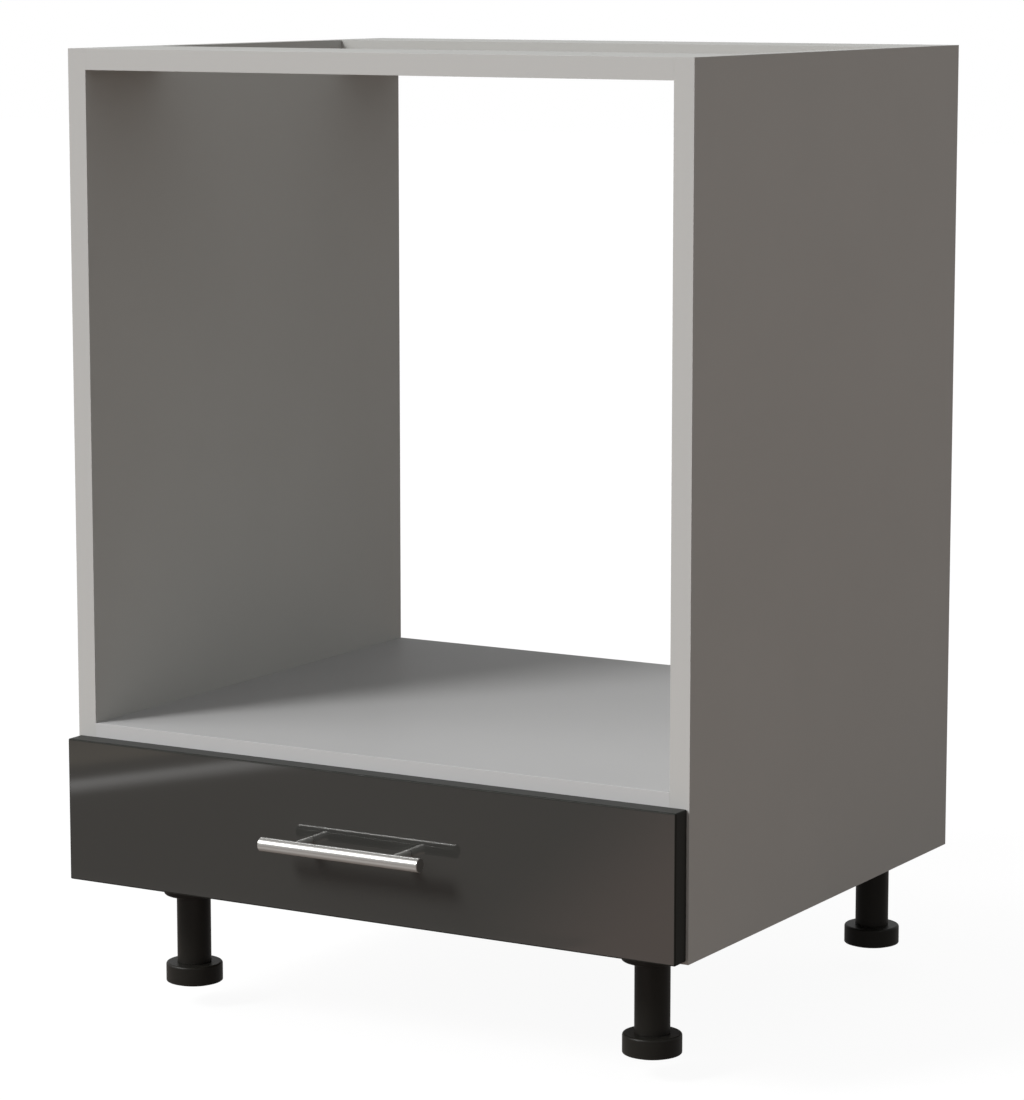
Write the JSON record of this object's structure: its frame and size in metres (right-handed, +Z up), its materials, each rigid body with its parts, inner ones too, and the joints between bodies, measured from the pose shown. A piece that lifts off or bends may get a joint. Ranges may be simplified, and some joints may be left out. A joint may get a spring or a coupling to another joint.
{
  "type": "oven housing base cabinet",
  "caption": "Kitchen base cabinet that houses a built-in oven: open carcass with an oven deck over a drawer with a bar handle, on adjustable legs.",
  "frame": {"origin": "on the floor, at the middle of the footprint (width between the sides, depth from the handle to the rear leg sockets)", "axes": "+Z up, -Y out of the drawer front, +X to the right seen from the front"},
  "size_m": [0.6, 0.575, 0.82],
  "materials": {
    "carcass_board": "matt grey melamine face on particle board",
    "edge_band": "matt grey edge band",
    "dowel_beech": "fluted beech",
    "cam_zinc": "zinc die casting",
    "fastener_steel": "bright zinc plate",
    "leg_plastic": "black moulded polypropylene, satin",
    "glide_pad": "dark grey moulded plastic",
    "runner_steel": "zinc-plated rolled steel",
    "cage_steel": "plain stamped steel strip",
    "ball_steel": "polished bearing steel",
    "buffer_plastic": "black moulded plastic",
    "box_board": "matt grey melamine face on particle board",
    "bottom_board": "grey painted hardboard",
    "front_gloss": "high-gloss anthracite film on fibreboard",
    "bumper_clear": "clear soft plastic",
    "handle_steel": "satin stainless steel"
  },
  "bodies": {
    "carcass": {"side_panel_left": "carcass_board", "side_panel_right": "carcass_board", "base_panel": "carcass_board", "oven_deck": "carcass_board", "top_rail_front": "carcass_board", "top_rail_rear": "carcass_board", "front_edge_bands": "edge_band", "joint_dowels": "dowel_beech", "cam_discs": "cam_zinc", "cam_bolts": "fastener_steel", "leg_screws": "fastener_steel", "cabinet_rail_screws": "fastener_steel", "runner_buffers": "buffer_plastic", "runner_cabinet_rail_left": "runner_steel", "runner_cabinet_rail_right": "runner_steel", "leg_socket_front_left": "leg_plastic", "leg_socket_front_right": "leg_plastic", "leg_socket_rear_left": "leg_plastic", "leg_socket_rear_right": "leg_plastic", "leg_column_front_left": "leg_plastic", "leg_column_front_right": "leg_plastic", "leg_column_rear_left": "leg_plastic", "leg_column_rear_right": "leg_plastic"},
    "drawer": {"drawer_side_left": "box_board", "drawer_side_right": "box_board", "drawer_inner_front": "box_board", "drawer_back": "box_board", "drawer_bottom": "bottom_board", "drawer_front": "front_gloss", "drawer_bumpers": "bumper_clear", "handle_bar": "handle_steel", "handle_post_left": "handle_steel", "handle_post_right": "handle_steel", "runner_drawer_rail_left": "runner_steel", "runner_drawer_rail_right": "runner_steel", "drawer_rail_screws": "fastener_steel", "drawer_box_screws": "fastener_steel", "drawer_front_screws": "fastener_steel", "handle_screws": "fastener_steel"},
    "middle_rail_left": {"runner_middle_rail_left": "runner_steel"},
    "outer_cage_left": {"runner_outer_cage_left": "cage_steel", "runner_outer_balls_left": "ball_steel"},
    "inner_cage_left": {"runner_inner_cage_left": "cage_steel", "runner_inner_balls_left": "ball_steel"},
    "middle_rail_right": {"runner_middle_rail_right": "runner_steel"},
    "outer_cage_right": {"runner_outer_cage_right": "cage_steel", "runner_outer_balls_right": "ball_steel"},
    "inner_cage_right": {"runner_inner_cage_right": "cage_steel", "runner_inner_balls_right": "ball_steel"},
    "glide_pad_front_left": {"foot_pad_front_left": "glide_pad"},
    "foot_front_left": {"foot_front_left": "leg_plastic"},
    "glide_pad_front_right": {"foot_pad_front_right": "glide_pad"},
    "foot_front_right": {"foot_front_right": "leg_plastic"},
    "glide_pad_rear_left": {"foot_pad_rear_left": "glide_pad"},
    "foot_rear_left": {"foot_rear_left": "leg_plastic"},
    "glide_pad_rear_right": {"foot_pad_rear_right": "glide_pad"},
    "foot_rear_right": {"foot_rear_right": "leg_plastic"}
  },
  "joints": [
    {"name": "drawer_slide", "type": "slide", "parent": "carcass", "child": "drawer", "axis": [0, -1, 0], "range_m": [0, 0.4]},
    {"name": "middle_rail_left_slide", "type": "slide", "parent": "carcass", "child": "middle_rail_left", "axis": [0, -1, 0], "range_m": [0, 0.2]},
    {"name": "outer_cage_left_slide", "type": "slide", "parent": "carcass", "child": "outer_cage_left", "axis": [0, -1, 0], "range_m": [0, 0.1]},
    {"name": "inner_cage_left_slide", "type": "slide", "parent": "carcass", "child": "inner_cage_left", "axis": [0, -1, 0], "range_m": [0, 0.3]},
    {"name": "middle_rail_right_slide", "type": "slide", "parent": "carcass", "child": "middle_rail_right", "axis": [0, -1, 0], "range_m": [0, 0.2]},
    {"name": "outer_cage_right_slide", "type": "slide", "parent": "carcass", "child": "outer_cage_right", "axis": [0, -1, 0], "range_m": [0, 0.1]},
    {"name": "inner_cage_right_slide", "type": "slide", "parent": "carcass", "child": "inner_cage_right", "axis": [0, -1, 0], "range_m": [0, 0.3]},
    {"name": "foot_lift_front_left", "type": "slide", "parent": "carcass", "child": "glide_pad_front_left", "axis": [0, 0, -1], "range_m": [0, 0.02]},
    {"name": "foot_turn_front_left", "type": "hinge", "parent": "glide_pad_front_left", "child": "foot_front_left", "pos_m": [-0.23, -0.1635, 0.01], "axis": [0, 0, -1], "range_deg": [0, 1800]},
    {"name": "foot_lift_front_right", "type": "slide", "parent": "carcass", "child": "glide_pad_front_right", "axis": [0, 0, -1], "range_m": [0, 0.02]},
    {"name": "foot_turn_front_right", "type": "hinge", "parent": "glide_pad_front_right", "child": "foot_front_right", "pos_m": [0.23, -0.1635, 0.01], "axis": [0, 0, -1], "range_deg": [0, 1800]},
    {"name": "foot_lift_rear_left", "type": "slide", "parent": "carcass", "child": "glide_pad_rear_left", "axis": [0, 0, -1], "range_m": [0, 0.02]},
    {"name": "foot_turn_rear_left", "type": "hinge", "parent": "glide_pad_rear_left", "child": "foot_rear_left", "pos_m": [-0.23, 0.2615, 0.01], "axis": [0, 0, -1], "range_deg": [0, 1800]},
    {"name": "foot_lift_rear_right", "type": "slide", "parent": "carcass", "child": "glide_pad_rear_right", "axis": [0, 0, -1], "range_m": [0, 0.02]},
    {"name": "foot_turn_rear_right", "type": "hinge", "parent": "glide_pad_rear_right", "child": "foot_rear_right", "pos_m": [0.23, 0.2615, 0.01], "axis": [0, 0, -1], "range_deg": [0, 1800]}
  ],
  "couplings": [
    {"joint": "middle_rail_left_slide", "follows": "drawer_slide", "ratio": 0.5},
    {"joint": "outer_cage_left_slide", "follows": "drawer_slide", "ratio": 0.25},
    {"joint": "inner_cage_left_slide", "follows": "drawer_slide", "ratio": 0.75},
    {"joint": "middle_rail_right_slide", "follows": "drawer_slide", "ratio": 0.5},
    {"joint": "outer_cage_right_slide", "follows": "drawer_slide", "ratio": 0.25},
    {"joint": "inner_cage_right_slide", "follows": "drawer_slide", "ratio": 0.75},
    {"joint": "foot_lift_front_left", "follows": "foot_turn_front_left", "m_per_rad": 0.0006366},
    {"joint": "foot_lift_front_right", "follows": "foot_turn_front_right", "m_per_rad": 0.0006366},
    {"joint": "foot_lift_rear_left", "follows": "foot_turn_rear_left", "m_per_rad": 0.0006366},
    {"joint": "foot_lift_rear_right", "follows": "foot_turn_rear_right", "m_per_rad": 0.0006366}
  ]
}
